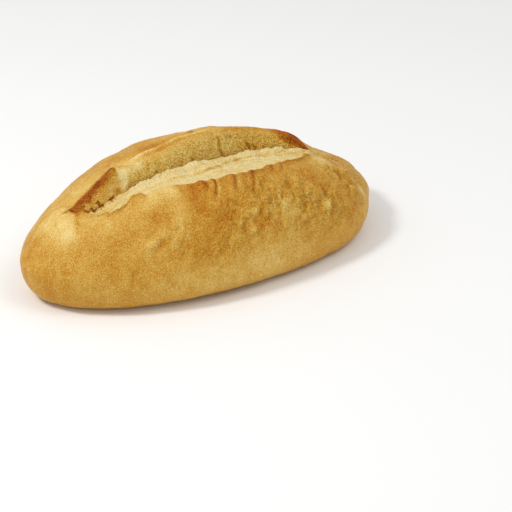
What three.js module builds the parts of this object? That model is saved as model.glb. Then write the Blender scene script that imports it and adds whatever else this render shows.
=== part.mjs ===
// Potato bread: one whole oval loaf, baked on a flat surface, whose long slash has opened along its top.
// Millimetres, +Z up, +X along the loaf. The narrow end is toward -X, the standing lip of the slash
// toward +Y. The origin is on the plane of the flat bottom, under the middle of the loaf.
//
// The loaf is one sheet, rolled round like a tube and pinched shut at both ends. It runs from the middle of
// the bottom up the far side, down the wall of the slash, over its torn floor, down the near side and back
// under the loaf. Each column of the sheet leads from a point of the slash to a point of the plan outline.

import * as THREE from 'three';
import { ImprovedNoise } from 'three/addons/math/ImprovedNoise.js';
import { mergeVertices } from 'three/addons/utils/BufferGeometryUtils.js';

// Size of the loaf
const LENGTH = 283;
const WIDTH = 155;
const DOME_TOP = 88;        // height of the dome, had the slash not opened
const BELLY = 16;           // height of the widest line at mid length
const BELLY_AT_ENDS = 26.5; // and at the two ends
const BASE_WIDTH = { narrowEnd: 0.7, broadEnd: 0.8 }; // width of the flat bottom, as a share of the loaf's
const BASE_DRAW_IN = 0.12;  // how far the bottom stops short of each end, as a share of the half length

// Fullness of the curves: exponents of the rounded outlines, 2 for an ellipse and more for a boxier end
const PLAN = { narrowEnd: [1.82, 1.8], broadEnd: [2.9, 1.93] };
const PROFILE = { narrowEnd: [2.46, 1.49], broadEnd: [1.25, 1.68] };
const SECTION = { near: [1.65, 2.05], far: [1.93, 1.95] };

// The slash at stations along the loaf: where its near crust edge, its deepest line and its lip run across
// the loaf, how far the first two lie under the dome, and how far the lip rises over it
const SLASH = [
  { x: -108, near: -1.5, notch: -1.5, lip: -1.5, dip: 0.0, depth: 0.0, rise: 0.0 },
  { x: -102, near: -8.0, notch: -5.0, lip: -2.5, dip: 1.0, depth: 4.5, rise: 0.3 },
  { x: -95, near: -17.0, notch: -9.0, lip: -2.5, dip: 2.0, depth: 8.0, rise: 0.6 },
  { x: -86, near: -22.5, notch: -9.0, lip: -1.5, dip: 2.5, depth: 9.5, rise: 0.6 },
  { x: -70, near: -24.5, notch: -6.5, lip: 1.5, dip: 3.0, depth: 13.0, rise: 0.0 },
  { x: -56, near: -26.5, notch: -4.5, lip: 3.5, dip: 3.0, depth: 15.5, rise: -3.0 },
  { x: -38, near: -31.5, notch: -3.0, lip: 6.0, dip: 3.0, depth: 17.0, rise: -4.3 },
  { x: -12, near: -38.0, notch: -0.5, lip: 8.3, dip: 3.0, depth: 18.0, rise: -2.6 },
  { x: 12, near: -39.0, notch: 1.0, lip: 10.5, dip: 3.0, depth: 18.5, rise: -0.4 },
  { x: 36, near: -36.0, notch: 2.0, lip: 11.0, dip: 3.0, depth: 15.5, rise: 3.4 },
  { x: 58, near: -30.0, notch: 0.0, lip: 9.5, dip: 3.0, depth: 11.5, rise: 5.2 },
  { x: 74, near: -23.0, notch: -6.0, lip: 4.0, dip: 2.0, depth: 6.0, rise: 6.4 },
  { x: 84, near: -18.5, notch: -12.0, lip: -6.0, dip: 1.0, depth: 2.5, rise: 5.0 },
  { x: 88, near: -16.0, notch: -16.0, lip: -16.0, dip: 0.0, depth: 0.0, rise: 0.0 },
];

const EDGE_ROLL = { near: 16, far: 24 }; // distance over which the crust beside it meets the dome again
const TIP_LENGTH = 8;       // stretch at each tip where its edges run smooth
const WALL_CURVE = 1.8;     // 1 for a straight wall, more for one that leans back near its top

// The burnt flap: the stretch of the lip near the narrow end that has curled up and snapped off
const FLAP = { from: -106, to: -69, rise: 4.6, thickness: 5, snap: 2 };

// Relief of the surfaces: height and wavelength of the unevenness
const CRUST_WAVES = [{ height: 1.3, length: 34 }, { height: 0.8, length: 15 }];
const CRUMB_WAVES = [{ height: 1.5, length: 13 }, { height: 1.2, length: 7 }];
const EDGE_WAVES = { height: 1.6, length: 9 };
const EDGE_FOLDS = { from: -40, to: 60, fade: 10, spacing: 9, depth: 1.3, reach: 14 };
const RELIEF_START = 8;     // distance from the slash over which the relief of the crust sets in
const FLOOR_SAG = 1;

// Where the dough was pulled at the two ends of the slash: swollen at the narrow end, sunk at the broad one
const MOUNDS = [
  { x: -112, y: -12, radius: 15, height: 1.2 },
  { x: 108, y: 6, radius: 40, height: -3.6 },
];

// Fineness of the sheet: columns along the loaf, and rows in each stretch across it
const COLUMNS = 64;
const ROWS = { base: 2, under: 6, crust: 16, wall: 7, floor: 9 };
const CROWDING = 1.35;      // 1 for even rows down the crust, more for rows crowded at the slash

// Planes of the noise from which the surfaces draw their unevenness, so that no two are alike
const DRAW = { nearEdge: -40, lip: 40, notch: 60, wall: 90, floor: 20 };

const noise = new ImprovedNoise();
const { clamp, lerp, smoothstep } = THREE.MathUtils;

// Unevenness of the given waves at a point, about -1 to 1 times their height
function uneven(waves, x, y, z) {
  let sum = 0;
  for (const { height, length } of waves) {
    sum += height * noise.noise(x / length + 3.7, y / length + 8.1, z / length + 5.3);
  }
  return sum;
}

// One column of the table of the slash, as a smooth curve over x
function slashCurve(key) {
  const stations = SLASH.map((row) => row.x);
  const values = SLASH.map((row) => row[key]);
  const curve = new THREE.CubicInterpolant(stations, values, 1);
  return (x) => curve.evaluate(x)[0];
}

const nearEdgeY = slashCurve('near');
const notchY = slashCurve('notch');
const lipY = slashCurve('lip');
const nearEdgeDip = slashCurve('dip');
const notchDepth = slashCurve('depth');
const lipRise = slashCurve('rise');
const SLASH_START = SLASH[0].x;
const SLASH_END = SLASH.at(-1).x;

// The rounded body without its slash. A rounded curve falls from 1 at share 0 to 0 at share 1.
const rounded = (share, [shoulder, nose]) => (1 - share ** shoulder) ** (1 / nose);
const alongShare = (x) => clamp(Math.abs(x) / (LENGTH / 2), 0, 1);

function halfWidthAt(x) {
  return (WIDTH / 2) * rounded(alongShare(x), x < 0 ? PLAN.narrowEnd : PLAN.broadEnd);
}

function bellyAt(x) {
  return lerp(BELLY, BELLY_AT_ENDS, alongShare(x) ** 4);
}

function ridgeAt(x) {
  const end = x < 0 ? PROFILE.narrowEnd : PROFILE.broadEnd;
  return lerp(bellyAt(x), DOME_TOP, rounded(alongShare(x), end));
}

function domeAt(x, y) {
  const across = clamp(Math.abs(y) / Math.max(halfWidthAt(x), 1e-6), 0, 1);
  return lerp(bellyAt(x), ridgeAt(x), rounded(across, y < 0 ? SECTION.near : SECTION.far));
}

// Half of the plan outline, from the narrow end round to the broad one
class Outline extends THREE.Curve {
  getPoint(t, target = new THREE.Vector3()) {
    const angle = Math.PI * (t - 0.5);
    const [shoulder] = angle < 0 ? PLAN.narrowEnd : PLAN.broadEnd;
    const x = (LENGTH / 2) * Math.sign(angle) * Math.abs(Math.sin(angle)) ** (2 / shoulder);
    return target.set(x, halfWidthAt(x), 0);
  }
}

const outline = new Outline();
outline.arcLengthDivisions = 4000;

// Outward direction of the body at a point, for the relief of the crust
function outward(point) {
  const across = point.y / (WIDTH / 2) ** 2;
  const up = (point.z - BELLY) / (DOME_TOP - BELLY) ** 2;
  return new THREE.Vector3(point.x / (LENGTH / 2) ** 2, across, Math.max(up, 0)).normalize();
}

// Share of the slash's raggedness at x: none at its two tips
function tipFade(x) {
  const begun = smoothstep(x, SLASH_START, SLASH_START + TIP_LENGTH);
  return begun * (1 - smoothstep(x, SLASH_END - TIP_LENGTH, SLASH_END));
}

const faded = (distance, reach) => Math.exp(-((distance / reach) ** 2));

function flapRise(x) {
  const grown = clamp((x - FLAP.from) / (FLAP.to - FLAP.from), 0, 1);
  return FLAP.rise * grown * (1 - smoothstep(x, FLAP.to - FLAP.snap, FLAP.to + FLAP.snap));
}

// The three lines of the slash. side is -1 for the near crust edge and 1 for the lip.
function slashEdge(side, x) {
  const ragged = tipFade(x) * uneven([EDGE_WAVES], x, side < 0 ? DRAW.nearEdge : DRAW.lip, 0);
  const y = (side < 0 ? nearEdgeY(x) : lipY(x)) + ragged;
  const offset = side < 0 ? -nearEdgeDip(x) : lipRise(x) + flapRise(x);
  return new THREE.Vector3(x, y, domeAt(x, y) + offset + ragged / 2);
}

function slashNotch(x) {
  const y = notchY(x);
  const ragged = tipFade(x) * uneven(CRUMB_WAVES, x, 0, DRAW.notch);
  return new THREE.Vector3(x, y, domeAt(x, y) - notchDepth(x) + ragged);
}

// The crust: share 0 is at the slash, 1 at the widest line
function crust(side, column, share) {
  const x = lerp(SLASH_START, SLASH_END, column);
  const from = slashEdge(side, x);
  const to = outline.getPointAt(column);
  to.y = column === 0 || column === 1 ? 0 : side * to.y;
  const point = from.clone().lerp(to, Math.sin((Math.PI / 2) * share ** CROWDING));
  const away = Math.hypot(point.x - from.x, point.y - from.y);
  const flap = side < 0 ? 0 : flapRise(x);
  const edgeOffset = from.z - domeAt(from.x, from.y) - flap;
  point.z = domeAt(point.x, point.y) + edgeOffset * faded(away, side < 0 ? EDGE_ROLL.near : EDGE_ROLL.far)
    + flap * faded(away, FLAP.thickness);
  const relief = crustRelief(point) - (side < 0 ? foldDepth(x, away) : 0);
  return point.addScaledVector(outward(point), relief * smoothstep(away, 0, RELIEF_START));
}

function crustRelief(point) {
  let relief = uneven(CRUST_WAVES, point.x, point.y, point.z);
  for (const { x, y, radius, height } of MOUNDS) {
    relief += height * (1 - smoothstep(Math.hypot(point.x - x, point.y - y), radius / 4, radius));
  }
  return relief;
}

// Short folds that run down from the near crust edge
function foldDepth(x, away) {
  const { from, to, fade, spacing, depth, reach } = EDGE_FOLDS;
  const inside = smoothstep(x, from, from + fade) * (1 - smoothstep(x, to - fade, to));
  const groove = 0.5 + 0.5 * Math.cos((2 * Math.PI * x) / spacing);
  return depth * inside * groove * (1 - smoothstep(away, reach / 2, reach));
}

// The side under the widest line: share 0 is at the widest line, 1 at the edge of the flat bottom
function under(side, column, share) {
  const rim = crust(side, column, 1);
  const turn = (Math.PI / 2) * (1 - share);
  const tucked = 1 - Math.sin(turn);
  const baseWidth = lerp(BASE_WIDTH.narrowEnd, BASE_WIDTH.broadEnd, smoothstep(rim.x, -60, 40));
  const length = 1 - BASE_DRAW_IN * tucked * alongShare(rim.x) ** 2;
  const width = lerp(1, baseWidth, tucked);
  return new THREE.Vector3(rim.x * length, rim.y * width, rim.z * (1 - Math.cos(turn)));
}

// The flat bottom: share 0 is at its edge, 1 on the seam along its middle
function base(side, column, share) {
  const edge = under(side, column, 1);
  const middle = edge.clone().add(under(-side, column, 1)).multiplyScalar(0.5);
  return edge.lerp(middle, share).setComponent(2, 0);
}

// The wall of the slash: share 0 is at the lip, 1 at the notch
function wall(column, share) {
  const x = lerp(SLASH_START, SLASH_END, column);
  const top = slashEdge(1, x);
  const foot = slashNotch(x);
  const climb = 1 - share;
  const point = new THREE.Vector3(x, lerp(foot.y, top.y, climb ** WALL_CURVE), lerp(foot.z, top.z, climb));
  point.y -= tipFade(x) * Math.sin(Math.PI * share) * uneven(CRUMB_WAVES, x, DRAW.wall, point.z);
  return point;
}

// The torn floor of the slash: share 0 is at the notch, 1 at the near crust edge
function tornFloor(column, share) {
  const x = lerp(SLASH_START, SLASH_END, column);
  const foot = slashNotch(x);
  const edge = slashEdge(-1, x);
  const point = foot.clone().lerp(edge, share);
  const inside = tipFade(x) * Math.sin(Math.PI * share);
  point.z += inside * (uneven(CRUMB_WAVES, x, point.y, DRAW.floor) - FLOOR_SAG);
  return point;
}

// The stretches across the sheet in their order, each with its rows and its surface
const STRETCHES = [
  { rows: ROWS.base, at: (column, t) => base(1, column, 1 - t) },
  { rows: ROWS.under, at: (column, t) => under(1, column, 1 - t) },
  { rows: ROWS.crust, at: (column, t) => crust(1, column, 1 - t) },
  { rows: ROWS.wall, at: wall },
  { rows: ROWS.floor, at: tornFloor },
  { rows: ROWS.crust, at: (column, t) => crust(-1, column, t) },
  { rows: ROWS.under, at: (column, t) => under(-1, column, t) },
  { rows: ROWS.base, at: (column, t) => base(-1, column, t) },
];

function sheetPoint(column, row) {
  let first = 0;
  for (const { rows, at } of STRETCHES) {
    if (row <= first + rows) return at(column, (row - first) / rows);
    first += rows;
  }
  throw new Error('row outside the sheet');
}

// A triangle that has shrunk to a line, where the sheet is pinched, is left out
function withoutEmptyTriangles(geometry) {
  const index = geometry.index.array;
  const kept = [];
  for (let i = 0; i < index.length; i += 3) {
    const [a, b, c] = [index[i], index[i + 1], index[i + 2]];
    if (a !== b && b !== c && c !== a) kept.push(a, b, c);
  }
  geometry.setIndex(kept);
  return geometry;
}

function loafGeometry() {
  const rows = STRETCHES.reduce((sum, stretch) => sum + stretch.rows, 0);
  const sheet = new THREE.PlaneGeometry(1, 1, COLUMNS, rows);
  sheet.deleteAttribute('normal');
  sheet.deleteAttribute('uv');
  const positions = sheet.attributes.position;
  for (let row = 0; row <= rows; row += 1) {
    for (let column = 0; column <= COLUMNS; column += 1) {
      const point = sheetPoint(column / COLUMNS, row);
      positions.setXYZ(row * (COLUMNS + 1) + column, point.x, point.y, point.z);
    }
  }
  const closed = withoutEmptyTriangles(mergeVertices(sheet, 1e-3));
  closed.computeBoundingBox();
  const middle = closed.boundingBox.getCenter(new THREE.Vector3());
  closed.translate(-middle.x, -middle.y, 0);
  closed.computeVertexNormals();
  return closed;
}

const bakedCrust = new THREE.MeshStandardMaterial({ color: 0xd9a85c, roughness: 0.6, metalness: 0 });

const loaf = new THREE.Mesh(loafGeometry(), bakedCrust);
loaf.name = 'loaf';

const potatoBread = new THREE.Group();
potatoBread.name = 'potato_bread';
potatoBread.add(loaf);

export default potatoBread;
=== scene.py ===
# Potato bread: the looks of a whole oval loaf with an opened slash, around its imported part.
# The form is worked out in millimetres, with +Z up, +X along the loaf and the lip of the slash toward +Y.
# It lands in metres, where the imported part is.
import math

import bmesh
import bpy
import numpy as np
from mathutils import Euler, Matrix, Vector, noise


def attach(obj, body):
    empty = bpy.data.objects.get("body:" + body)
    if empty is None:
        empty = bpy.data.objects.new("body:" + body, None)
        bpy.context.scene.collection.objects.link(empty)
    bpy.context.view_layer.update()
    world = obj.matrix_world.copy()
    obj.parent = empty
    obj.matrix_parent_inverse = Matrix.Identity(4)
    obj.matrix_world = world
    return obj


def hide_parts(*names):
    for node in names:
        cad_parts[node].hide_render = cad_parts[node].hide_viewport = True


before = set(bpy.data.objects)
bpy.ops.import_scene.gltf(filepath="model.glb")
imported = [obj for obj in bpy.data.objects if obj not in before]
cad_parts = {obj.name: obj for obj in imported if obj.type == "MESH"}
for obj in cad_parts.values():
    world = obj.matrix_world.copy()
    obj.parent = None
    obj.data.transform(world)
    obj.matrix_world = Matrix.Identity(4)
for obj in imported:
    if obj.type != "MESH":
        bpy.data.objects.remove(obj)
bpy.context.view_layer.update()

MM = 0.001

# Size of the loaf
LENGTH = 283.0
WIDTH = 155.0
DOME_TOP = 88.0        # height of the dome, had the slash not opened
BELLY = 16.0           # height of the widest line at mid length
BELLY_AT_ENDS = 26.5   # and at the two ends
BASE_WIDTH_NARROW_END = 0.7
BASE_WIDTH_BROAD_END = 0.8
BASE_DRAW_IN = 0.12

# Fullness of the curves: exponents of the rounded outlines, 2 for an ellipse and more for a boxier end
PLAN_NARROW, PLAN_BROAD = (1.82, 1.8), (2.9, 1.93)
PROFILE_NARROW, PROFILE_BROAD = (2.46, 1.49), (1.25, 1.68)
SECTION_NEAR, SECTION_FAR = (1.65, 2.05), (1.93, 1.95)

# The slash at stations along the loaf: where its near crust edge, its deepest line and its lip run across
# the loaf, how far the first two lie under the dome, and how far the lip rises over it
SLASH_KEYS = ("x", "near", "notch", "lip", "dip", "depth", "rise")
SLASH_STATIONS = np.array([
    (-108, -1.5, -1.5, -1.5, 0.0, 0.0, 0.0),
    (-102, -9.0, -5.0, -2.5, 2.0, 4.5, 0.3),
    (-95, -17.5, -9.0, -2.5, 2.4, 8.0, 0.6),
    (-86, -24.0, -9.0, -1.5, 2.5, 9.5, 0.6),
    (-70, -26.2, -6.5, 1.5, 3.0, 13.0, 0.0),
    (-56, -26.5, -4.5, 3.5, 3.0, 15.5, -3.0),
    (-38, -31.5, -3.0, 6.0, 3.0, 17.0, -4.3),
    (-12, -37.6, -0.5, 8.3, 3.0, 18.0, -2.6),
    (12, -37.6, 1.0, 10.5, 3.0, 18.5, -0.4),
    (36, -33.2, 2.0, 11.0, 3.0, 15.5, 3.4),
    (58, -26.6, 0.0, 9.5, 3.0, 9.8, 5.2),
    (74, -22.6, -5.0, 4.2, 2.0, 4.0, 6.4),
    (84, -17.3, -9.5, -4.5, 1.0, 1.2, 5.9),
    (90, -12.0, -12.0, -12.0, 0.0, 0.0, 0.0),
])
SLASH_TABLE = dict(zip(SLASH_KEYS, SLASH_STATIONS.T))
SLASH_START, SLASH_END = SLASH_TABLE["x"][0], SLASH_TABLE["x"][-1]
EDGE_ROLL_NEAR, EDGE_ROLL_FAR = 16.0, 24.0
TIP_LENGTH = 8.0
WALL_CURVE = 1.8

# The burnt flap of the lip near the narrow end, which has curled up and snapped off
FLAP_FROM, FLAP_TO, FLAP_RISE, FLAP_THICKNESS, FLAP_END = -106.0, -66.4, 4.6, 5.0, 5.0

# Fineness of the sheet: columns along the loaf, and rows in each stretch across it. Both sides have the same
# number of rows, so that their seams at the two ends of the loaf meet point by point.
COLUMNS = 360
BASE_ROWS, UNDER_ROWS, CRUST_ROWS, WALL_ROWS, FLOOR_ROWS = 4, 8, 90, 30, 40
CROWDING = 1.35


def lerp(a, b, t):
    return a + (b - a) * t


def smoothstep(x, low, high):
    t = np.clip((x - low) / (high - low), 0, 1)
    return t * t * (3 - 2 * t)


def within(x, low, high, fade):
    """1 between low and high, and 0 outside, with a soft passage of the width fade at either end"""
    return smoothstep(x, low - fade, low) * (1 - smoothstep(x, high, high + fade))


def hump(distance, reach):
    return np.exp(-((distance / reach) ** 2))


def uneven(height, length, x, y, z, plane=0.0):
    """Soft unevenness of one wavelength at each point, about -height to height"""
    x, y, z = np.broadcast_arrays(x, y, z)
    points = zip(x.ravel() / length, y.ravel() / length, z.ravel() / length + plane)
    values = [noise.noise(p, noise_basis="PERLIN_ORIGINAL") for p in points]
    return height * np.reshape(values, x.shape)


def cells(length, x, y, z, plane=0.0):
    """0 at the middle of each cell of a foam and 1 at its wall, for cells of about that length"""
    x, y, z = np.broadcast_arrays(x, y, z)
    points = zip(x.ravel() / length, y.ravel() / length, z.ravel() / length + plane)
    found = np.array([noise.voronoi(p)[0][:2] for p in points])
    return np.clip(1 - (found[:, 1] - found[:, 0]), 0, 1).reshape(x.shape)


def facets(length, x, y, z, plane=0.0):
    """Facets of about that length, each tilted its own way: their height and the paleness of each"""
    x, y, z = np.broadcast_arrays(x, y, z)
    height, tone = np.zeros(x.size), np.zeros(x.size)
    for i, point in enumerate(zip(x.ravel() / length, y.ravel() / length, z.ravel() / length + plane)):
        distances, seeds = noise.voronoi(point)
        soft = min((distances[1] - distances[0]) / 0.15, 1)
        height[i] = soft * (Vector(point) - seeds[0]).dot(noise.noise_vector(seeds[0] * 7.3))
        tone[i] = soft * noise.noise(seeds[0] * 3.1)
    return length * height.reshape(x.shape), tone.reshape(x.shape)


# ---- The body and the lines of the slash ----

def slash_curve(key, x):
    """One column of the table of the slash, as a smooth curve over x"""
    stations, values = SLASH_TABLE["x"], SLASH_TABLE[key]
    steps = np.diff(values) / np.diff(stations)
    slopes = np.concatenate([steps[:1], (steps[:-1] + steps[1:]) / 2, steps[-1:]])
    i = np.clip(np.searchsorted(stations, x, side="right") - 1, 0, len(stations) - 2)
    span = stations[i + 1] - stations[i]
    t = (x - stations[i]) / span
    start = values[i] * (2 * t**3 - 3 * t**2 + 1) + slopes[i] * span * (t**3 - 2 * t**2 + t)
    end = values[i + 1] * (3 * t**2 - 2 * t**3) + slopes[i + 1] * span * (t**3 - t**2)
    return start + end


def rounded(share, fullness):
    """Falls from 1 at share 0 to 0 at share 1 along a rounded curve"""
    shoulder, nose = fullness
    return (1 - share**shoulder) ** (1 / nose)


def along_share(x):
    return np.clip(np.abs(x) / (LENGTH / 2), 0, 1)


def half_width_at(x):
    share = along_share(x)
    return WIDTH / 2 * np.where(x < 0, rounded(share, PLAN_NARROW), rounded(share, PLAN_BROAD))


def belly_at(x):
    return lerp(BELLY, BELLY_AT_ENDS, along_share(x) ** 4)


def dome_at(x, y):
    share = along_share(x)
    profile = np.where(x < 0, rounded(share, PROFILE_NARROW), rounded(share, PROFILE_BROAD))
    ridge = lerp(belly_at(x), DOME_TOP, profile)
    across = np.clip(np.abs(y) / np.maximum(half_width_at(x), 1e-6), 0, 1)
    section = np.where(y < 0, rounded(across, SECTION_NEAR), rounded(across, SECTION_FAR))
    return lerp(belly_at(x), ridge, section)


def outline_at(column):
    """Half of the plan outline, from the narrow end at column 0 round to the broad one at 1, by its length"""
    angle = np.pi * (np.linspace(0, 1, 4001) - 0.5)
    shoulder = np.where(angle < 0, PLAN_NARROW[0], PLAN_BROAD[0])
    x = LENGTH / 2 * np.sign(angle) * np.abs(np.sin(angle)) ** (2 / shoulder)
    y = half_width_at(x)
    run = np.concatenate([[0], np.cumsum(np.hypot(np.diff(x), np.diff(y)))])
    return np.interp(column * run[-1], run, x), np.interp(column * run[-1], run, y)


def outward(x, y, z):
    """Outward direction of the body, for the relief of the crust"""
    up = np.maximum((z - BELLY) / (DOME_TOP - BELLY) ** 2, 0)
    direction = np.stack([x / (LENGTH / 2) ** 2, y / (WIDTH / 2) ** 2, up])
    return direction / np.maximum(np.linalg.norm(direction, axis=0), 1e-9)


def tip_fade(x):
    begun = smoothstep(x, SLASH_START, SLASH_START + TIP_LENGTH)
    return begun * (1 - smoothstep(x, SLASH_END - TIP_LENGTH, SLASH_END))


def flap_rise(x):
    grown = np.clip((x - FLAP_FROM) / (FLAP_TO - FLAP_FROM), 0, 1)
    into_end = np.clip((x - FLAP_TO + FLAP_END) / FLAP_END, 0, 1)
    return FLAP_RISE * grown * np.sqrt(1 - into_end**3)


# Points of crust that lean over the floor from its near edge: x of the tip, length along the edge, reach
CRUST_POINTS = [(-69.5, 12, 3.3), (-64, 8, 2.8), (-89, 4, 2.0), (-82, 3, 1.0), (-78, 4, 0.8), (-100, 4, 2.4),
                (80, 5, 2.0)]
# Folds that run down from the near crust edge: x of the groove, how far down, depth, how much it leans to -X,
# and how wide it is
FOLDS = [(-36, 9, 0.4, 1.0, 1.0), (-18.8, 9, 1.3, 0.3, 1.0), (-11.2, 17, 1.6, 1.0, 0.65), (5, 16, 1.2, 1.0, 1.0),
         (22, 20, 1.2, 1.0, 1.0), (41, 8, 0.7, 0.6, 1.2), (52, 13, 0.5, 1.2, 1.0)]


def crust_points(x):
    total = 0
    for tip, length, reach in CRUST_POINTS:
        rising = np.clip(1 - (tip - x) / length, 0, 1) * (x <= tip)
        falling = np.clip(1 - (x - tip) / (0.35 * length), 0, 1) * (x > tip)
        total = total + reach * (rising + falling)
    return total


def folds_of(x, away):
    """Height of the folds, and their painted shade and highlight: each swells toward +X, lies over the next and
    drops to it; the drop, turned from the light, is painted browner and the strip past it paler
    """
    height, brown = 0, 0
    for at, reach, depth, lean, width in FOLDS:
        across = (x - at + lean * (0.3 * away + 0.02 * away**2) + 0.8 * hump(away, 3)) / width
        shown = depth * (1 - smoothstep(away, reach * 0.4, reach))
        height = height + shown * (1.2 * hump(across + 2.8, 2.9) - 0.6 * hump(across - 0.9, 1.6))
        # painted shade on each fold's drop, turned from the light, and painted highlight on the strip past it
        brown = brown + shown * (hump(across + 1.2, 2.2) - 0.7 * hump(across - 3.0, 2.2))
    return height, brown


def near_edge(x, plain=False):
    ragged = tip_fade(x) * (uneven(0.6, 9, x, -40, 0) + uneven(0.4, 3.5, x, -40, 0) + 0.4 * folds_of(x, 0)[0])
    if plain:
        ragged = 0 * ragged
    y = slash_curve("near", x) + ragged + tip_fade(x) * (0 if plain else crust_points(x))
    return x, y, dome_at(x, y) - slash_curve("dip", x) + ragged / 2


def lip_edge(x):
    ragged = tip_fade(x) * (uneven(0.8, 9, x, 40, 0) + uneven(0.4, 3.2, x, 40, 0))
    y = slash_curve("lip", x) + ragged
    return x, y, dome_at(x, y) + slash_curve("rise", x) + flap_rise(x) + ragged / 2


def notch_line(x):
    y = slash_curve("notch", x)
    ragged = tip_fade(x) * (uneven(1.5, 13, x, 0, 60) + uneven(1.2, 6, x, 0, 60))
    return x, y, dome_at(x, y) - slash_curve("depth", x) + ragged


# ---- The crust ----

# Parts of the crust that have wrinkled into small blisters: centre, radius and how much
WRINKLED = [((-52, -60, 50), 15, 0.5), ((-36, -68, 40), 18, 0.5), ((-12, -66, 52), 24, 0.85), ((20, -60, 60), 22, 1.0), ((48, -62, 50), 26, 1.0),
            ((72, -62, 40), 24, 1.0), ((96, -40, 48), 22, 1.0), ((110, -15, 46), 16, 0.9), ((60, 50, 52), 26, 0.5),
            ((12, 66, 44), 24, 0.5), ((-46, 54, 46), 20, 0.35), ((104, 20, 46), 20, 0.5)]
# Single marks of the crust: start, end, radius, height, and how much browner it is there, which is real browning
# and paleness on the streaks, spots, tips and strands, painted highlight on the pale ridges and blisters, and
# painted shade in the hollows, slits, grooves and creases
MARKS = [
    ((-76, -53, 46), (-65, -54, 53), 2.2, 1.5, -0.14),      # slanting ridge with a painted highlight, and the hollow under it with painted shadow
    ((-73, -57, 43), (-66, -56, 48), 1.8, -0.7, 0.10),
    # bumps with painted highlights
    ((-61, -59, 47), (-58, -59, 49), 2.2, 1.0, -0.10),
    ((-53, -53, 58), (-51, -54, 58), 2.8, 0.8, -0.08),
    ((-87, -28, 65), (-86, -32, 63), 0.8, -1.0, 0.35),      # two slits under the near edge, darkened with painted shade
    ((-84, -27, 66), (-83, -31, 64), 0.7, -0.8, 0.25),
    ((-106, 2, 63), (-105, -9, 62), 1.5, -0.7, 0.14),       # groove between the knob and the near crust, with painted shadow along it
    ((-105, -9, 62), (-108, -15, 59), 1.4, -0.9, 0.12),
    ((-108, -15, 59), (-111, -20, 55), 1.8, -0.6, 0.10),
    ((-107, -13, 61), (-107, -13, 61), 1.0, -0.8, 0.30),
    ((-108, -16, 59), (-108, -16, 59), 0.9, -0.6, 0.25),
    ((-122, 4, 51), (-122, 4, 51), 1.5, 0.9, 0.10),         # pimple
    ((-90, -54, 31), (-91, -55, 22), 1.0, -0.8, 0.10),      # upright crease, darkened with painted shade
    ((104, -29, 50), (105, -31, 48), 1.7, -1.5, 0.22),      # pock darkened with painted shade, with a raised rim at its right that has a painted highlight
    ((107, -31, 47), (109, -32, 45), 2.0, 0.9, -0.12),
    ((120, -40, 34), (121, -38, 35), 2.4, -1.2, 0.08),      # nick at the broad end with painted shade, and a painted highlight on the bump beside it
    ((116, -44, 34), (118, -43, 34), 2.8, 1.0, -0.14),
    ((-12, 26, 84), (6, 28, 83), 2.4, 0.9, 0.0),            # low ridge behind the lip
    ((-21, 25, 84), (-12, 26, 84), 2.0, 0.7, 0.0),
    ((-36, 17, 84), (-8, 15, 87), 4.0, 0.3, 0.12),          # brown streak and dot of the far crust
    ((6, 19, 84), (9, 22, 83), 2.2, 1.3, 0.30),
    ((-61, 9, 78.5), (-55, 4, 80), 1.1, 0.3, 0.14),         # golden line beside the flap
    ((-3, -64, 54), (6, -63, 56), 1.7, 1.5, -0.18),         # painted highlights on the ridges of the near crust
    ((28, -56, 62), (30, -64, 53), 1.7, 1.3, -0.16),
    ((34, -62, 55), (27, -66, 50), 1.5, 1.5, -0.18),
    ((9, -71, 42), (9, -71, 42), 1.5, 1.2, -0.20),
    ((-3, -71, 45), (-1, -71, 45), 1.6, 0.9, -0.16),
    ((-12, -66, 54), (-10, -67, 52), 1.8, 1.1, -0.16),
    # a small pit, darkened with painted shade
    ((33, -63, 54), (33, -63, 54), 0.8, -0.8, 0.40),
    ((-12, -62, 59), (-12, -62, 59), 3.0, -0.9, 0.12),      # painted shade in the hollows between them
    ((-4, -59, 60), (-3, -58, 61), 2.4, -0.8, 0.12),
    ((88, -45, 51), (89, -46, 50), 2.0, 1.3, -0.18),        # painted highlights on small blisters of the broad end
    ((99, -45, 44), (100, -45, 43), 1.8, 1.3, -0.18),
    ((102, -48, 40), (103, -49, 39), 1.6, 1.2, -0.18),
    ((56, -54, 57), (56, -55, 55), 1.5, 1.2, -0.16),
    ((63, -52, 57), (64, -54, 53), 1.6, 1.3, -0.18),
    ((70, -63, 44), (70, -65, 41), 2.9, 1.8, -0.20),
    ((41, -68, 45), (42, -68, 44), 2.4, 1.2, -0.16),
    ((80, -19, 65), (80, -19, 65), 2.5, 0.6, 0.16),         # browned tip of the near edge
    ((90, -21, 59), (95, -23, 57), 2.8, 0.7, -0.10),
    ((98, -27, 54), (100, -28, 53), 2.0, 0.7, -0.10),
    ((78, -25, 63), (75, -37, 60), 1.1, 0.9, -0.20),        # strands that stretch from the end of the slash
    ((84, -24, 62), (81, -37, 57), 1.1, 0.9, -0.18),
    ((90, -26, 58), (88, -38, 54), 1.2, 0.9, -0.16),
]
# Broad swellings of the body, and hollows where negative: centre, radius, height
SWELLINGS = [((28, 30, 78), 16, 2.2), ((-24, 38, 76), 12, 1.2), ((0, 37, 78), 9, -0.6), ((-90, 38, 56), 12, -1.1),
             ((138, -16, 28), 18, -2.4), ((121, -39, 32), 11, -3.5)]
CREST = 4.7            # how far behind its edge the lip has its crest, along the middle
# The swollen knob of dough at the narrow end of the slash
KNOB_X, KNOB_Y, KNOB_RADIUS, KNOB_HEIGHT = -121.0, -5.0, 16.5, 2.0


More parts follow.
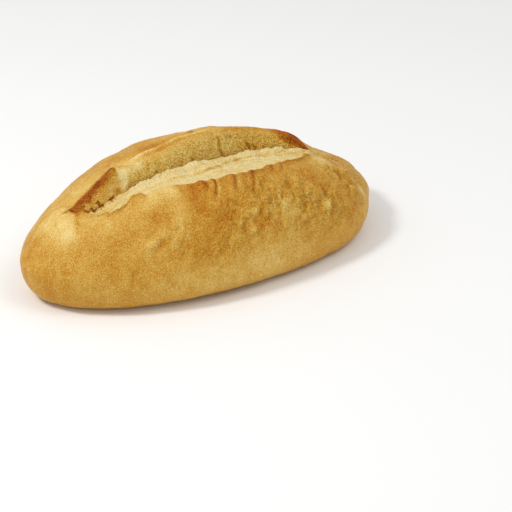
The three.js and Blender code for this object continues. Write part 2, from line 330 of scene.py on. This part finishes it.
def near_segment(point, start, end):
    """Distance from each point to the stretch between start and end"""
    a, b = np.array(start, float), np.array(end, float)
    d = b - a
    offset = [c - a[i] for i, c in enumerate(point)]
    t = np.clip(sum(o * d[i] for i, o in enumerate(offset)) / max(d @ d, 1e-9), 0, 1)
    return np.sqrt(sum((o - t * d[i]) ** 2 for i, o in enumerate(offset)))


def knob(x, y):
    """Height share of the knob: a crisp step toward the slash, a soft passage toward the end of the loaf"""
    away = np.hypot(x - KNOB_X, y - KNOB_Y)
    toward_slash = smoothstep((x - KNOB_X) + 1.1 * (y - KNOB_Y), -4, 12)
    blur = lerp(13, 1.0, toward_slash)
    return (1 - smoothstep(away, KNOB_RADIUS - blur, KNOB_RADIUS + blur * 0.6)) * (1 - 0.25 * np.minimum(away / KNOB_RADIUS, 1))


def crust_relief(x, y, z, away, side):
    """Height of the crust's relief over the body; how much paler the blisters are painted, as painted highlight on
    their ridges and painted shade in their valleys with a random tone for each facet; and how leathery the crust
    is
    """
    relief = uneven(1.1, 34, x, y, z, 5) + uneven(0.7, 15, x, y, z, 9)
    relief += 1.2 * (1 - smoothstep(np.hypot(x + 112, y + 12), 4, 15))
    relief -= 3.6 * (1 - smoothstep(np.hypot(x - 108, y - 6), 10, 40))
    for centre, radius, height in SWELLINGS:
        relief += height * hump(near_segment((x, y, z), centre, centre), radius)
    wrinkled = 0
    for centre, radius, amount in WRINKLED:
        wrinkled = np.maximum(wrinkled, amount * hump(near_segment((x, y, z), centre, centre), radius))
    wrinkled = wrinkled * smoothstep(z, 16, 34)
    warp = uneven(2.2, 9, x, y, z, 19)
    slanted = x - 0.6 * z
    ridges = 0.45 - np.abs(uneven(1.0, 9, slanted + warp, 0.65 * y, 0.65 * z, 21))
    small_ridges = 0.40 - np.abs(uneven(1.0, 5, slanted, 0.75 * y + warp, 0.75 * z, 27))
    blisters = 2.4 * ridges + 1.6 * small_ridges - 0.7
    tilted, tone = facets(7.5, slanted + warp, 0.8 * y, 0.8 * z, 35)
    relief += blisters * (0.10 + 1.0 * wrinkled) + 1.1 * np.tanh(tilted / 1.1) * wrinkled
    relief += uneven(0.12, 2.4, x, y, z, 31)
    for start, end, radius, height, _ in MARKS:
        relief += height * hump(near_segment((x, y, z), start, end), radius)
    relief += KNOB_HEIGHT * knob(x, y)
    if side < 0:
        relief += folds_of(x, away)[0]
    # the second value: painted highlight on the blisters' ridges, painted shade in their valleys, and each facet's
    # random tone
    return relief, (0.6 * blisters + 1.2 * tone) * wrinkled, wrinkled - 0.2 * knob(x, y)


def crust(side, column, share):
    x = lerp(SLASH_START, SLASH_END, column)
    from_x, from_y, from_z = near_edge(x) if side < 0 else lip_edge(x)
    to_x, to_y = outline_at(column)
    t = np.sin(np.pi / 2 * share**CROWDING)
    px, py = lerp(from_x, to_x, t), lerp(from_y, side * to_y, t)
    away = np.hypot(px - from_x, py - from_y)
    flap = 0 if side < 0 else flap_rise(x)
    offset = from_z - dome_at(from_x, from_y) - flap
    pz = dome_at(px, py) + offset * hump(away, EDGE_ROLL_NEAR if side < 0 else EDGE_ROLL_FAR)
    pz = pz + flap * hump(away, FLAP_THICKNESS)
    relief, blisters, wrinkled = crust_relief(px, py, pz, away, side)
    relief = relief * smoothstep(away, 0, 3.5)
    if side < 0:
        relief = relief + tip_fade(x) * (1 - within(x, -58, -34, 6)) * 0.9 * hump(away - 1.2, 1.6)
    else:
        crest = 1.1 * hump(away - CREST, 1.7) - 0.8 * hump(away - CREST - 4.0, 2.2)
        relief = relief + within(x, -50, 20, 10) * crest
    n = outward(px, py, pz)
    return (px + n[0] * relief, py + n[1] * relief, pz + n[2] * relief), away, blisters, wrinkled


def under(side, column, share):
    rx, ry, rz = crust(side, column, np.ones((1, 1)))[0]
    turn = np.pi / 2 * (1 - share)
    tucked = 1 - np.sin(turn)
    base_width = lerp(BASE_WIDTH_NARROW_END, BASE_WIDTH_BROAD_END, smoothstep(rx, -60, 40))
    length = 1 - BASE_DRAW_IN * tucked * along_share(rx) ** 2
    width = lerp(1, base_width, tucked)
    return rx * length, ry * width, rz * (1 - np.cos(turn))


def base(side, column, share):
    edge = under(side, column, np.ones((1, 1)))
    other = under(-side, column, np.ones((1, 1)))
    x = lerp(edge[0], (edge[0] + other[0]) / 2, share)
    y = lerp(edge[1], (edge[1] + other[1]) / 2, share)
    return x, y, np.zeros_like(x)


# ---- The slash ----

# Cracks that run down the wall: x, and the share of the way down at which each begins
WALL_CRACKS = [(22, 0.15), (45, 0.4), (49, 0.6), (-4, 0.7), (-36, 0.6)]
# Browner spots of the wall: centre, radius and how much
WALL_SPOTS = [((-70, -6.5, 68.5), 2.8, 0.34), ((-40, 1.5, 78), 2.0, 0.20), ((-42, 0, 75.5), 1.8, 0.20),
              ((-14, 0, 73), 1.8, 0.20), ((-24, 4, 77), 1.6, 0.12), ((28, 9, 80.5), 4.0, 0.14)]
SKIN = 4.0             # how far the smooth skin of the crust reaches down the wall


def depth_on_wall(x, share):
    """Millimetres down from the lip"""
    return share * (slash_curve("depth", x) + slash_curve("rise", x)) + flap_rise(x) * (1 - (1 - share) ** 3)


def wall(column, share):
    """The wall of the slash: share 0 is at the lip, 1 at the notch"""
    x = lerp(SLASH_START, SLASH_END, column)
    top, foot = lip_edge(x), notch_line(x)
    climb = 1 - share
    y = lerp(foot[1], top[1], climb**WALL_CURVE)
    z = lerp(foot[2], top[2] - flap_rise(x), climb) + flap_rise(x) * climb**3
    bent_x, bent_z = x + 0.4 * z + uneven(2.5, 6, x, 90, z, 11), z + uneven(2.5, 6, x, 90, z, 13)
    foam = 1.2 * (cells(4.2, bent_x, 90, bent_z, 3) - 0.5) + 1.0 * (cells(2.0, bent_x, 90, bent_z, 7) - 0.5)
    foam = foam * (1 - 0.7 * within(x, FLAP_FROM, FLAP_TO, 3)) * lerp(0.75, 1.0, smoothstep(x, -60, 0))
    torn = uneven(1.1, 12, x, 90, z, 3) + uneven(0.8, 5.0, x, 90, z, 7) + foam
    crack = 0
    for at, begins in WALL_CRACKS:
        wander = x - at - uneven(2.5, 7, at, 0, z, 33)
        crack = crack + 1.4 * hump(wander, 1.1) * smoothstep(share, begins, begins + 0.2)
    inside = tip_fade(x) * np.clip(depth_on_wall(x, share) / SKIN, 0, 1) * (1 - smoothstep(share, 0.93, 1) * 0.6)
    y = y - inside * (torn - crack)
    return (np.broadcast_to(x, y.shape), y, z), foam, crack


def torn_floor(column, share):
    """The torn floor of the slash: share 0 is at the notch, 1 at the near crust edge"""
    x = lerp(SLASH_START, SLASH_END, column)
    foot, edge, plain = notch_line(x), near_edge(x), near_edge(x, plain=True)
    y = lerp(foot[1], lerp(plain[1], edge[1], share**8), share)
    z = lerp(foot[2], lerp(plain[2], edge[2], share**8), share)
    inside = tip_fade(x) * np.sin(np.pi * share)
    foam = 0.7 * (cells(3.6, x, y, 20, 5) - 0.5) + 0.8 * (cells(1.9, x, y, 20, 9) - 0.5)
    torn = uneven(1.2, 13, x, y, 20) + uneven(0.8, 5.5, x, y / 0.7, 24) + foam
    jags = uneven(0.6, 2.8, x, y / 1.5, 80) + uneven(1.4, 1.4, x, y, 84)
    swell = 3.0 * within(x, -58, 66, 8) - 2.4 * within(x, 0, 21, 6) - 1.8 * hump(x - 58, 5)
    shoulder = swell * hump(share - 0.13, 0.10) + jags * hump(share - 0.12, 0.09)
    middle = lerp(0.47, 0.29, smoothstep(x, 2, 30)) + uneven(0.02, 9, x, 0, 50)
    broken = np.clip(0.40 + uneven(0.9, 7, x, 0, 70), 0, 0.8) + 0.8 * within(x, 0, 29, 5) * smoothstep(x, -12, 18)
    ridge = 1.1 * broken * hump((share - middle) * 32, 1.6) * within(x, -34, 72, 8)
    roughness = lerp(1.1, 0.6, smoothstep(share, 0.4, 0.7)) * lerp(0.7, 1.25, smoothstep(x, -60, 40))
    z = z + inside * (torn * roughness - 1) + tip_fade(x) * shoulder + inside * ridge
    return (np.broadcast_to(x, y.shape), y, z), foam, ridge


# ---- How far each place is baked: 0 for pale dough, 1 for burnt ----

EVEN_BAKE = 0.46
BROWNED = [
    ((-134, 0, 42), 20, 0.11), ((-138, -14, 28), 20, 0.06), ((102, -8, 58), 12, -0.08), ((92, -12, 62), 9, -0.10),
    ((-116, 18, 52), 22, -0.05), ((-93, 12, 69), 18, -0.09), ((11, 20, 85), 12, -0.08), ((-61, -34, 72), 8, -0.16),
    ((-42, -36, 75), 7, -0.16), ((-96, -38, 52), 16, 0.06), ((-53, -56, 57), 11, -0.08), ((-33, -43, 72), 9, 0.12),
    ((-12, -60, 58), 20, 0.06), ((-52, -68, 13), 22, -0.05), ((-39, -67, 43), 14, 0.10), ((-65, -46, 61), 8, 0.08), ((38, -60, 56), 16, 0.0),
    ((69, -54, 53), 15, 0.05), ((97, -48, 44), 18, 0.05), ((97, -60, 32), 16, 0.08), ((93, -25, 57), 10, -0.19),
    ((96, -22, 56), 6, -0.10), ((110, -21, 49), 5, -0.14), ((113, -46, 34), 6, -0.16), ((68, -64, 43), 5, -0.10),
    ((4, -77, 21), 16, -0.10), ((-90, -52, 24), 22, 0.02), ((-27, 22, 85), 9, 0.08),
    ((43, -44, 68), 9, 0.10), ((58, -40, 66), 8, 0.06), ((42, -68, 44), 14, -0.03), ((80, -50, 54), 12, -0.05), ((88, -39, 50), 8, -0.06),
    ((-116, -18, 53), 7, -0.20), ((-101, -19, 60), 9, -0.11), ((-81, -39, 58), 9, 0.05), ((-60, -45, 62), 8, 0.09),
    ((-34, -53, 62), 9, 0.14), ((-100, -44, 41), 9, 0.06), ((-22, -64, 52), 8, 0.08), ((-1, -65, 54), 7, -0.13),
    ((12, -70, 46), 7, 0.11), ((63, -43, 58), 8, 0.12), ((104, -49, 38), 8, 0.08), ((-134, -8, 38), 9, -0.06),
]


def crust_bake(point, away, blisters, side):
    x, y, z = point
    bake = EVEN_BAKE + uneven(0.08, 38, x, y, z, 41) + uneven(0.07, 13, x, y, z, 43) + uneven(0.05, 5, x, y, z, 47)
    for centre, radius, amount in BROWNED:
        bake = bake + amount * hump(near_segment(point, centre, centre), radius)
    for start, end, radius, _, browning in MARKS:
        bake = bake + browning * hump(near_segment(point, start, end), radius)
    bake = bake - 0.22 * knob(x, y) * (1 - smoothstep(z, 60, 40))
    # paler on the blisters' ridges and browner in their valleys: painted highlight and painted shade, with each
    # facet's random tone
    bake = bake - 0.14 * blisters
    if side < 0:
        bake = bake + 0.14 * hump(away, 8) * within(x, -38, 78, 8)
        bake = bake + 0.16 * hump(away, 2.5) * within(x, -104, -62, 4)
        bake = bake - 0.13 * hump(away, 7) * within(x, -58, -43, 6) - 0.14 * hump(away, 5) * within(x, 86, 92, 4)
        # painted shade on each fold's drop and painted highlight on the strip past it
        bake = bake + 0.16 * folds_of(x, away)[1]
    else:
        bake = bake + uneven(0.10, 5, x / 5, y, z, 45)
        bake = bake + 0.36 * hump(away, 1.6) * within(x, FLAP_FROM, FLAP_TO - 3, 3)
        bake = bake + 0.06 * hump(away, 3.0) * within(x, -44, 40, 6)
        # a pale line along the lip's crest: painted highlight
        bake = bake - (0.24 + uneven(0.16, 5, x, y, 0, 69)) * hump(away - CREST, 1.5) * within(x, -42, 10, 14)
        bake = bake - 0.20 * hump(away - 2, 7 + uneven(4.0, 7, x, 0, 0, 70)) * within(x, -66, -44, 7)
        bake = bake - 0.10 * hump(away - 8, 3.0) * within(x, -6, 24, 6)
        bake = bake + 0.05 * hump(away, 7) * within(x, 34, 70, 8) + 0.34 * hump(away, 4) * within(x, 76, 88, 5)
    return bake


def streak_beside_flap(x, below_lip):
    return within(x + 0.2 * below_lip, FLAP_TO + 2, FLAP_TO + 6, 3) * (1 - smoothstep(below_lip, 9, 14))


def painted_crevice_shade(x, z, away):
    """Painted shade of the jagged seam between wall and floor near the narrow end"""
    ragged = away + uneven(4.0, 4, x, 0, z, 65) + uneven(3.0, 2, x, 0, z, 67)
    return (1 - smoothstep(ragged, 0.0, 2.0)) * within(x, -97, -76, 3)


def wall_bake(point, share, foam, crack):
    x, y, z = point
    below_lip = depth_on_wall(x, share)
    # browner in the foam's hollow cells and in the cracks: painted shade
    bake = 0.30 - 0.07 * foam + uneven(0.07, 7, x, y, z, 51) + 0.22 * np.clip(crack, 0, 1)
    # the skin under the lip: pale beside the flap, orange along the middle
    bake = bake - 0.06 * (1 - smoothstep(below_lip, 3, 6)) * within(x, -66, -40, 5)
    bake = bake + lerp(0.15, 0.10, smoothstep(x, 20, 36)) * hump(below_lip - 0.8, 2.6) * within(x, -40, 60, 8)
    for place, radius, browning in WALL_SPOTS:
        bake = bake + browning * hump(near_segment(point, place, place), radius)
    ragged = below_lip + uneven(1.6, 5, x, 90, z, 55) + uneven(0.8, 2, x, 90, z, 57)
    warm = lerp(6.0, 7.5, smoothstep(x, -86, -72))
    burnt = 0.25 * (1 - smoothstep(ragged, 2.2, 4.6)) + 0.14 * (1 - smoothstep(ragged, 3.6, warm)) + 0.21 * hump(ragged, 12)
    passage = 1.2 + 0.4 * below_lip
    on_flap = smoothstep(x, FLAP_FROM - 1, FLAP_FROM) * (1 - smoothstep(x, FLAP_TO - 1 - passage / 2, FLAP_TO + passage / 2))
    bake = bake + burnt * on_flap * (1 - 0.4 * smoothstep(x, -80, -70))
    bake = bake - (0.20 + uneven(0.18, 2.5, x, y, z, 59)) * streak_beside_flap(x, below_lip)
    reach = lerp(1.8, 9.0, smoothstep(x, 64, 82))
    brown = lerp(0.10, 0.50, smoothstep(x, 60, 80)) * (1 - smoothstep(ragged, reach * 0.7, reach * 1.25))
    bake = bake + brown * within(x, 32, 90, 14) + 0.11 * within(x, 40, 90, 10)
    bake = bake + 0.10 * (1 - smoothstep(ragged, 0.2, 1.4)) * within(x, 74, 90, 4)
    # browner in the seam at the wall's foot: painted shade
    return bake + 0.16 * painted_crevice_shade(x, z, (1 - share) * slash_curve("depth", x))


def floor_bake(point, share, foam, ridge):
    x, y, z = point
    # browner in the foam's hollow cells: painted shade
    bake = 0.115 + uneven(0.05, 6, x, y, z, 53) + uneven(0.20, 3.5, x / 6, y, z, 54) - 0.06 * foam
    bake = bake + 0.32 * ridge + 0.10 * smoothstep(x, 55, 88) + 0.13 * smoothstep(-x, 56, 76)
    # browner in the seam at the wall's foot: painted shade
    return bake + 0.16 * painted_crevice_shade(x, z, share * (slash_curve("notch", x) - slash_curve("near", x)))


# ---- The sheet, rolled round into the closed loaf ----

def build_rows():
    """Points, bake and crumb share of all rows of the sheet, from the middle of the bottom round to it again"""
    column = np.linspace(0, 1, COLUMNS + 1)[None, :]

    def shares(rows, backwards=False):
        t = np.linspace(0, 1, rows + 1)[:, None]
        return t[::-1] if backwards else t

    rows = []

    def add(point, bake, crumb, wall_share=0.0, leather=0.0, dark=0.0):
        point = [np.broadcast_to(c, (point[1].shape[0], COLUMNS + 1)) for c in point]
        shape = point[0].shape
        extra = [np.broadcast_to(v, shape) for v in (bake, crumb, wall_share, leather, dark)]
        rows.append(np.stack(point + extra, axis=-1))

    for side in (1, -1):
        rim, rim_away, rim_blisters, _ = crust(side, column, np.ones((1, 1)))
        rim_bake = crust_bake(rim, rim_away, rim_blisters, side)
        stretch = []
        t = shares(BASE_ROWS, True)
        point = base(side, column, t)
        baked = 0.52 + uneven(0.08, 22, point[0], point[1], 0, 61) + uneven(0.05, 7, point[0], point[1], 0, 63)
        stretch.append((point, baked, 0.0 * baked))
        t = shares(UNDER_ROWS, True)
        point = under(side, column, t)
        baked = 0.50 + uneven(0.08, 22, *point, 61) + uneven(0.05, 7, *point, 63)
        stretch.append((point, lerp(rim_bake, baked, smoothstep(t, 0, 0.8)), 0.0 * baked))
        t = shares(CRUST_ROWS, True)
        point, away, blisters, wrinkled = crust(side, column, t)
        stretch.append((point, crust_bake(point, away, blisters, side), wrinkled))
        if side > 0:
            for point, baked, leather in stretch:
                add(point, baked, 0.0, 0.0, leather)
            t = shares(WALL_ROWS)
            point, foam, crack = wall(column, t)
            torn = np.clip((depth_on_wall(point[0], t) - 1.5) / 3, 0, 1)
            beside_flap = streak_beside_flap(point[0], depth_on_wall(point[0], t))
            # painted shade of the seam at the wall's foot
            dark = painted_crevice_shade(point[0], point[2], (1 - t) * slash_curve("depth", point[0]))
            on_flap = within(point[0], FLAP_FROM, FLAP_TO, 3)
            open_crumb = torn * (1 - np.maximum(0.9 * beside_flap, 0.85 * on_flap))
            add(point, wall_bake(point, t, foam, crack), torn * (1 - 0.6 * on_flap), open_crumb, 0.3 * beside_flap, dark)
            t = shares(FLOOR_ROWS)
            point, foam, ridge = torn_floor(column, t)
            run = slash_curve("notch", point[0]) - slash_curve("near", point[0])
            # the floor's part of the painted shade of the seam
            add(point, floor_bake(point, t, foam, ridge), 1.0, 1 - smoothstep(t, 0, 0.1), 0.0,
                painted_crevice_shade(point[0], point[2], t * run))
        else:
            for point, baked, leather in reversed(stretch):
                add([np.asarray(c)[::-1] for c in point], np.asarray(baked)[::-1], 0.0, 0.0, leather[::-1])
    joined = [rows[0]]
    for before, block in zip(rows, rows[1:]):
        joined.append(block[1:])
    return np.concatenate(joined)


# the last layer carries the painted shade of the seam between wall and floor
LAYERS = ("bake", "crumb", "wall", "leather", "dark")


def material_of(name):
    made = bpy.data.materials.new(name)
    made.use_nodes = True
    made.node_tree.nodes.clear()
    return made


class Socket:
    """One socket of a node tree. Python operators on it add Math nodes."""

    def __init__(self, tree, socket):
        self.tree, self.socket = tree, socket

    def _math(self, operation, first, second):
        return node(self.tree, "ShaderNodeMath", {"operation": operation}, {0: first, 1: second})

    def __add__(self, other):
        return self._math("ADD", self, other)

    def __sub__(self, other):
        return self._math("SUBTRACT", self, other)

    def __rsub__(self, other):
        return self._math("SUBTRACT", other, self)

    def __mul__(self, other):
        return self._math("MULTIPLY", self, other)

    __radd__ = __add__
    __rmul__ = __mul__


def node(tree, kind, settings=None, inputs=None, output=0):
    """Adds a node: its settings first, then the values or links of its sockets. Gives one of its outputs."""
    made = tree.nodes.new(kind)
    for name, value in (settings or {}).items():
        if name == "stops":
            while len(made.color_ramp.elements) < len(value):
                made.color_ramp.elements.new(0.5)
            for element, (position, colour) in zip(made.color_ramp.elements, value):
                element.position, element.color = position, colour
        else:
            setattr(made, name, value)
    for name, value in (inputs or {}).items():
        if isinstance(value, Socket):
            tree.links.new(value.socket, made.inputs[name])
        else:
            made.inputs[name].default_value = value
    return Socket(tree, made.outputs[output]) if made.outputs else None


def srgb(red, green, blue):
    """A screen colour, 0 to 255, as the linear colour that a socket takes"""
    linear = [c / 255 / 12.92 if c <= 10 else ((c / 255 + 0.055) / 1.055) ** 2.4 for c in (red, green, blue)]
    return (*linear, 1.0)


BAKED_COLOURS = [
    (0.00, srgb(240, 220, 164)),
    (0.14, srgb(232, 206, 136)),
    (0.30, srgb(222, 184, 100)),
    (0.46, srgb(205, 157, 63)),
    (0.60, srgb(191, 132, 37)),
    (0.74, srgb(178, 104, 18)),
    (0.88, srgb(158, 78, 14)),
    (1.00, srgb(116, 56, 16)),
]


def bread_material():
    material = material_of("baked_bread")
    tree = material.node_tree
    place = node(tree, "ShaderNodeTexCoord", output=3)

    def attribute(name):
        return node(tree, "ShaderNodeAttribute", {"attribute_name": name}, output=2)

    def grain(length_mm, detail=2.0):
        inputs = {"Vector": place, "Scale": 1000 / length_mm, "Detail": detail}
        return node(tree, "ShaderNodeTexNoise", {}, inputs) - 0.5

    def ramp(value, stops):
        return node(tree, "ShaderNodeValToRGB", {"stops": stops}, {0: value})

    bake, crumb, deep, leather, dark = (attribute(name) for name in LAYERS)
    speckle = grain(2.0, 3.0)
    blotch = grain(7.0, 4.0)
    fine = grain(0.75, 1.0)
    bake = bake + speckle * (0.22 + 0.30 * leather) + fine * (0.76 - 0.05 * leather + 0.25 * crumb + 0.3 * deep)
    bake = bake + blotch * (0.16 + 0.04 * leather) * (1 - 0.4 * crumb)
    colour = ramp(bake, BAKED_COLOURS)

    wobble = grain(1.6, 1.0)
    cells_of = node(tree, "ShaderNodeTexVoronoi", {}, {"Vector": place, "Scale": 1000 / 1.9})
    clustered = cells_of + wobble * 0.6 + blotch * 0.9
    pore = node(tree, "ShaderNodeMapRange", {}, {0: clustered, 1: 0.16, 2: 0.50, 3: 1.0, 4: 0.0})
    # darker in the crumb's pores: painted shade in its holes
    shaded = node(tree, "ShaderNodeMix", {"data_type": "RGBA", "blend_type": "MULTIPLY"},
                  {0: pore * crumb * (0.04 + 0.22 * deep), 6: colour, 7: srgb(196, 160, 84)}, output=2)
    # the wall's crumb tinted olive and a little darker: partly its yellow colour, partly painted shade on the wall
    # under the lip
    olive_and_painted_shade = node(tree, "ShaderNodeMix", {"data_type": "RGBA", "blend_type": "MULTIPLY"},
                 {0: deep * 0.5, 6: shaded, 7: srgb(238, 230, 155)}, output=2)
    golden = node(tree, "ShaderNodeMix", {"data_type": "RGBA", "blend_type": "MULTIPLY"},
                  {0: leather * 0.7, 6: olive_and_painted_shade, 7: srgb(255, 244, 194)}, output=2)
    # painted shade of the seam between wall and floor, multiplied in
    with_painted_shade = node(tree, "ShaderNodeMix", {"data_type": "RGBA", "blend_type": "MULTIPLY"},
                 {0: dark, 6: golden, 7: srgb(186, 154, 106)}, output=2)

    creases = node(tree, "ShaderNodeMath", {"operation": "ABSOLUTE"}, {0: grain(2.8, 2.0)})
    height = speckle * (0.7 + 0.9 * crumb) + fine * (0.35 + 0.7 * crumb) - pore * crumb * 0.2
    height = height - creases * (0.7 + 4.5 * leather) * (1 - crumb)
    bump = node(tree, "ShaderNodeBump", {}, {"Strength": 0.8, "Distance": 0.0011, "Height": height})
    roughness = 0.50 + 0.42 * crumb + blotch * 0.20
    shader = node(tree, "ShaderNodeBsdfPrincipled", {}, {
        "Base Color": with_painted_shade, "Roughness": roughness, "Normal": bump, "Specular IOR Level": 0.14,
    })
    node(tree, "ShaderNodeOutputMaterial", {}, {"Surface": shader})
    return material


def build_loaf():
    sheet = build_rows()
    row_count = sheet.shape[0] - 1
    low, high = sheet[..., :3].min((0, 1)), sheet[..., :3].max((0, 1))
    sheet[..., 0] -= (low[0] + high[0]) / 2
    sheet[..., 1] -= (low[1] + high[1]) / 2

    shape = bmesh.new()
    bmesh.ops.create_grid(shape, x_segments=COLUMNS, y_segments=row_count, size=0.5)
    layers = [shape.verts.layers.float.new(name) for name in LAYERS]
    for vertex in shape.verts:
        column = round((vertex.co.x + 0.5) * COLUMNS)
        row = round((vertex.co.y + 0.5) * row_count)
        x, y, z, *values = sheet[row, column]
        vertex.co = (x * MM, y * MM, z * MM)
        for layer, value in zip(layers, values):
            vertex[layer] = value
    bmesh.ops.remove_doubles(shape, verts=shape.verts, dist=5e-6)
    bmesh.ops.dissolve_degenerate(shape, edges=shape.edges, dist=1e-6)
    bmesh.ops.recalc_face_normals(shape, faces=shape.faces)
    for face in shape.faces:
        face.smooth = True
    open_edges = sum(1 for edge in shape.edges if not edge.is_manifold)
    print("loaf:", len(shape.verts), "vertices", len(shape.faces), "faces", open_edges, "open edges")
    mesh = bpy.data.meshes.new("potato_loaf")
    shape.to_mesh(mesh)
    shape.free()
    loaf = bpy.data.objects.new("potato_loaf", mesh)
    bpy.context.scene.collection.objects.link(loaf)
    mesh.materials.append(bread_material())
    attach(loaf, "root")
    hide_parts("loaf")
    return loaf


# ---- Camera, light and floor ----

IMAGE_SIZE = 512
SENSOR_MM = 36.0
FOCAL_PX = 1300 / 0.717
AZIMUTH, ELEVATION, DISTANCE = -33.7, 26.2, 1.3
AIM_POINT, AIM_PIXEL = Vector((0, 0, 0.035)), (198.0, 205.6)


def direction(azimuth, elevation):
    """Unit vector from the object toward a viewer at these angles, in degrees"""
    a, e = math.radians(azimuth), math.radians(elevation)
    return Vector((math.sin(a) * math.cos(e), -math.cos(a) * math.cos(e), math.sin(e)))


def add_camera():
    """The camera, level, with AIM_POINT at AIM_PIXEL of the image"""
    back = direction(AZIMUTH, ELEVATION)
    right = (AIM_PIXEL[0] - IMAGE_SIZE / 2) / FOCAL_PX
    up = (IMAGE_SIZE / 2 - AIM_PIXEL[1]) / FOCAL_PX
    reach = math.sqrt(1 + right**2 + up**2)
    pitch = math.asin(reach * -back.z / math.sqrt(1 + up**2)) - math.atan(up)
    heading = math.atan2(-back.y, -back.x) + math.atan2(right, math.cos(pitch) - up * math.sin(pitch))
    data = bpy.data.cameras.new("camera")
    data.sensor_width = SENSOR_MM
    data.lens = SENSOR_MM * FOCAL_PX / IMAGE_SIZE
    data.clip_start, data.clip_end = 0.01, 50
    camera = bpy.data.objects.new("camera", data)
    camera.location = AIM_POINT + back * DISTANCE
    camera.rotation_euler = Euler((math.pi / 2 + pitch, 0, heading - math.pi / 2))
    bpy.context.scene.collection.objects.link(camera)
    bpy.context.scene.camera = camera


def add_softbox(name, azimuth, elevation, distance, size, energy):
    data = bpy.data.lights.new(name, "AREA")
    data.shape = "DISK"
    data.size = size
    data.energy = energy
    light = bpy.data.objects.new(name, data)
    away = direction(azimuth, elevation)
    light.location = AIM_POINT + away * distance
    light.rotation_euler = away.to_track_quat("Z", "Y").to_euler()
    bpy.context.scene.collection.objects.link(light)


def add_floor():
    shape = bmesh.new()
    bmesh.ops.create_grid(shape, x_segments=1, y_segments=1, size=5)
    bmesh.ops.translate(shape, verts=shape.verts, vec=(0, 0, -0.0004))
    mesh = bpy.data.meshes.new("floor")
    shape.to_mesh(mesh)
    shape.free()
    floor = bpy.data.objects.new("floor", mesh)
    bpy.context.scene.collection.objects.link(floor)
    material = material_of("pale_floor")
    tree = material.node_tree
    shader = node(tree, "ShaderNodeBsdfPrincipled", {}, {"Base Color": (0.93, 0.93, 0.92, 1), "Roughness": 0.9,
                                                         "Specular IOR Level": 0.1})
    node(tree, "ShaderNodeOutputMaterial", {}, {"Surface": shader})
    mesh.materials.append(material)


def add_world():
    world = bpy.data.worlds.new("studio")
    bpy.context.scene.world = world
    world.use_nodes = True
    background = world.node_tree.nodes["Background"]
    background.inputs["Color"].default_value = (1, 1, 1, 1)
    background.inputs["Strength"].default_value = 0.64


add_camera()
add_softbox("key", azimuth=-104, elevation=52, distance=1.4, size=0.3, energy=8.2)
add_softbox("fill", azimuth=30, elevation=55, distance=1.6, size=0.8, energy=4)
add_world()
add_floor()
build_loaf()
bpy.context.scene.view_settings.view_transform = "Standard"
